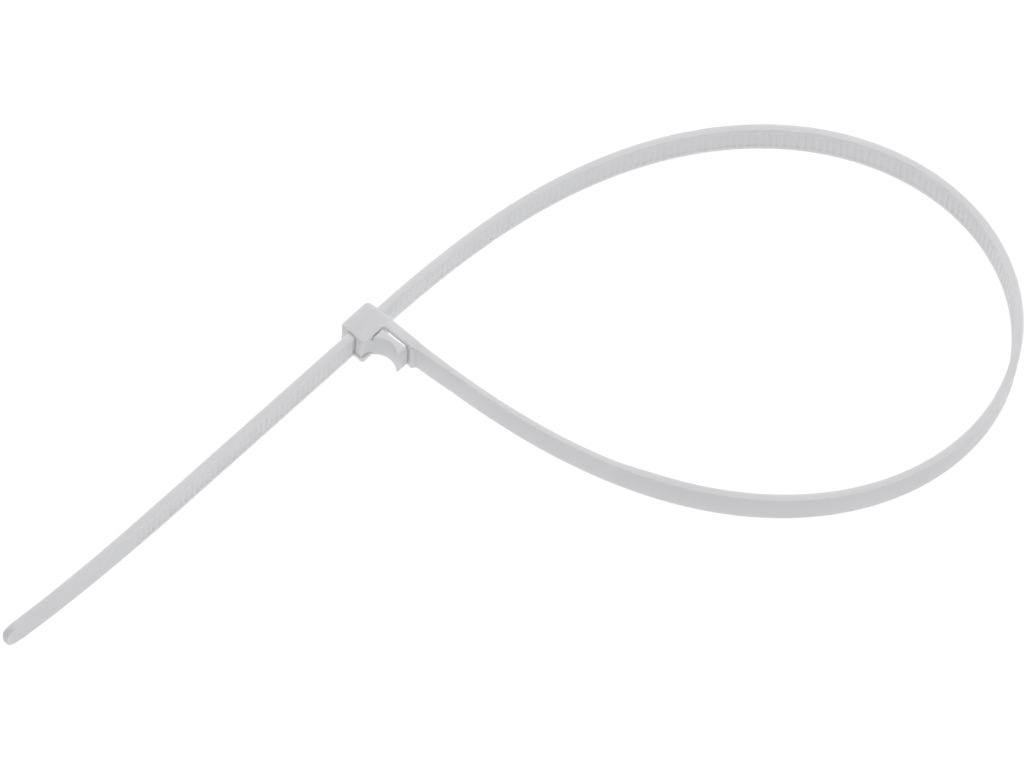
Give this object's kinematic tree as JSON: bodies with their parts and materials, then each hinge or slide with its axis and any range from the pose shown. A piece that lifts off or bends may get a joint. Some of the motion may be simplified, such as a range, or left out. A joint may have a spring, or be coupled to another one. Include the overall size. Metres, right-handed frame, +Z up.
{
  "type": "cable tie",
  "caption": "Releasable nylon cable tie closed into a teardrop loop, with a toothed strap through a ratchet head that has a pawl, a release lever and a windowed neck.",
  "frame": {"origin": "under the middle of the head's slot, on the flat underside of the head that the tie lies on", "axes": "+X along the neck away from the head, +Y through the slot from the tail into the loop, +Z up across the width of the strap"},
  "size_m": [0.0792, 0.1518, 0.006],
  "materials": {
    "nylon": "satin, slightly translucent natural nylon"
  },
  "bodies": {
    "root": {"cable_tie": "nylon"}
  },
  "joints": []
}
